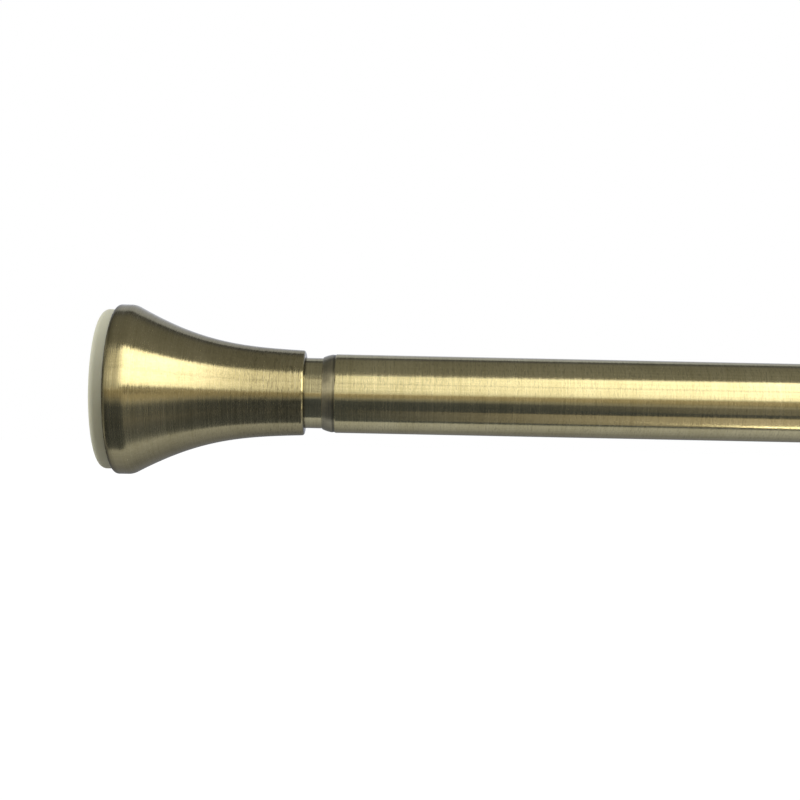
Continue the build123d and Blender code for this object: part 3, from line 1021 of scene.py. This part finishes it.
# %% Soft lights
def soft_light(toward_light, amount):
    """Light that fades with the angle from one direction: amount * max(0, cosine)."""
    cosine = vector(tree, "DOT_PRODUCT", {0: ray_direction, 1: toward_light}, "Value")
    return math(tree, "MULTIPLY", math(tree, "MAXIMUM", cosine, 0.0), amount)


key = soft_light((-0.62, 0.25, 0.74), 1.5)
fill = soft_light((0.8, 0.5, 0.33), 0.4)
bounce = soft_light((-0.9, 0.0, -0.44), 0.42)
ambient = (0.075, 0.06, 0.03)
direct = math(tree, "ADD", math(tree, "ADD", key, fill), bounce)
dull = vector(tree, "ADD", {0: direct, 1: ambient})
ray = add(tree, "ShaderNodeLightPath")
lit = blend(tree, ray.outputs["Is Glossy Ray"], dull, studio)
seen = blend(tree, ray.outputs["Is Camera Ray"], lit, (1, 1, 1))
light = add(tree, "ShaderNodeBackground", {"Color": seen, "Strength": 1.0})
add(tree, "ShaderNodeOutputWorld", {"Surface": light.outputs[0]})
world.cycles.sampling_method = "NONE"
print(len(tree.nodes), "nodes in the world")

# %% [markdown]
# ### Cards below the tube
#
# Low on the tube the photograph shows a brown glow and a thin bright line, and both
# begin part of the way along it. They mirror things near the rod, and a room that
# is infinitely far can't make them. Three flat cards that only reflections see
# stand for them, each placed by the angles at which the tube sees its edges.

# %% Cards
card_drop = 115 * mm
card_start, card_full, card_end = -0.975, -0.79, -0.55
card_fade = 0.1
brown = (1.0, 0.88, 0.74)
pale_gold = (1.0, 0.95, 0.8)
faint_start, faint_full = -0.86, -0.78
line_start, line_full = -0.84, -0.815
line_tip, line_shoulder = -0.828, -0.805
line_angle = 75
line_near, line_far = 7 * mm, 2 * mm


def across(steepness):
    """Where a card lies in front of the rod, seen from it so many degrees below level: -drop / tan."""
    return -card_drop / np.tan(radians(steepness))


def strip_between(first, second):
    """The corners of a card as long as the glow, between two angles below level."""
    near, far = across(first), across(second)
    return [(card_start, near), (card_end, near), (card_end, far), (card_start, far)]


def card(name, places, tint, start, full, peak):
    """A flat card that only reflections see, brighter from start to full along the rod."""
    corners = np.array([[x, y, -card_drop] for x, y in places])
    made = mesh_object(name, corners, [list(range(len(places)))])
    paint = bpy.data.materials.new(name)
    tree = emptied(paint)
    rise = along_rod(tree, 0.0, peak, start, full)
    fall = along_rod(tree, 1.0, 0.0, card_end - card_fade, card_end)
    edge = math(tree, "MULTIPLY", rise, fall)
    glow = add(tree, "ShaderNodeEmission", {"Color": (*tint, 1), "Strength": edge})
    clear = add(tree, "ShaderNodeBsdfTransparent")
    both = add(tree, "ShaderNodeAddShader", {0: glow.outputs[0], 1: clear.outputs[0]})
    add(tree, "ShaderNodeOutputMaterial", {"Surface": both.outputs[0]})
    made.data.materials.append(paint)
    made.visible_camera = made.visible_diffuse = made.visible_shadow = False


card("warm_card", strip_between(47, 77), brown, card_start, card_full, 0.39)
card("faint_card", strip_between(14, 37), brown, faint_start, faint_full, 0.12)
line = across(line_angle)
before, after = line - line_near, line + line_far
strip = [
    (line_tip, line),
    (line_shoulder, before),
    (card_end, before),
    (card_end, after),
    (line_shoulder, after),
]
card("bright_strip", strip, pale_gold, line_start, line_full, 3.2)
print("cards", round(card_drop / mm), "mm below the tube")

# %% [markdown]
# ### The floor
#
# A big sheet of pale paper lies below the rod and takes a faint shadow. The camera
# sees most of it as plain white, and reflections and soft light leave it out,
# because the studio's bands already hold the table. From below it is clear.

# %% Floor
floor_height = -0.36
floor_half = 9.0
paper_glow = 1.06
paper_whiteness = 0.93

corners = np.array([[-1, -1, 0], [1, -1, 0], [1, 1, 0], [-1, 1, 0]]) * floor_half + [0, 0, floor_height]
floor = mesh_object("studio_floor", corners, [[0, 1, 2, 3]])
paper = bpy.data.materials.new("pale_floor")
tree = emptied(paper)
ray = add(tree, "ShaderNodeLightPath")
side = add(tree, "ShaderNodeNewGeometry").outputs["Backfacing"]
sheet = add(tree, "ShaderNodeBsdfDiffuse", {"Color": (0.86, 0.86, 0.85, 1)})
glow = add(tree, "ShaderNodeEmission", {"Color": (1, 1, 1, 1), "Strength": paper_glow})
share = math(tree, "MULTIPLY", ray.outputs["Is Camera Ray"], paper_whiteness)
front = add(tree, "ShaderNodeMixShader", {0: share, 1: sheet.outputs[0], 2: glow.outputs[0]})
clear = add(tree, "ShaderNodeBsdfTransparent")
both = add(tree, "ShaderNodeMixShader", {0: side, 1: front.outputs[0], 2: clear.outputs[0]})
add(tree, "ShaderNodeOutputMaterial", {"Surface": both.outputs[0]})
floor.data.materials.append(paper)
floor.visible_glossy = floor.visible_diffuse = False
print("floor", round(-floor_height, 2), "m below the rod")

# %% [markdown]
# ## The camera
#
# The photograph was taken from half a metre in front of the left foot, level with
# the rod, and held about a degree out of level, so the rod sinks to the right.
# A camera's matrix has its right, up and backward directions as columns, so the
# roll and the small turn are written as those directions.

# %% Camera
camera_right_of_wall = 102.65 * mm
camera_distance = 504.8 * mm
camera_turn = 0.0048
camera_roll = 0.0209
camera_lens = 63.99
sensor_width = 36.0
picture_width = 800
camera_lift = -5.14 / picture_width

forward = np.array([np.sin(camera_turn), np.cos(camera_turn), 0.0])
rightward = np.array(
    [
        np.cos(camera_roll) * np.cos(camera_turn),
        -np.cos(camera_roll) * np.sin(camera_turn),
        np.sin(camera_roll),
    ]
)
upward = np.cross(rightward, forward)
data = bpy.data.cameras.new("camera")
data.lens = camera_lens
data.sensor_width = sensor_width
data.shift_y = camera_lift
data.clip_start, data.clip_end = 0.01, 60
camera = bpy.data.objects.new("camera", data)
bpy.context.scene.collection.objects.link(camera)
matrix = np.eye(4)
matrix[:3, 0], matrix[:3, 1], matrix[:3, 2] = rightward, upward, -forward
matrix[:3, 3] = [left_wall + camera_right_of_wall, -camera_distance, 0]
camera.matrix_world = Matrix(matrix.tolist())
bpy.context.scene.camera = camera
bpy.context.scene.view_settings.view_transform = "Standard"
print("camera", [round(v, 3) for v in camera.matrix_world.translation])
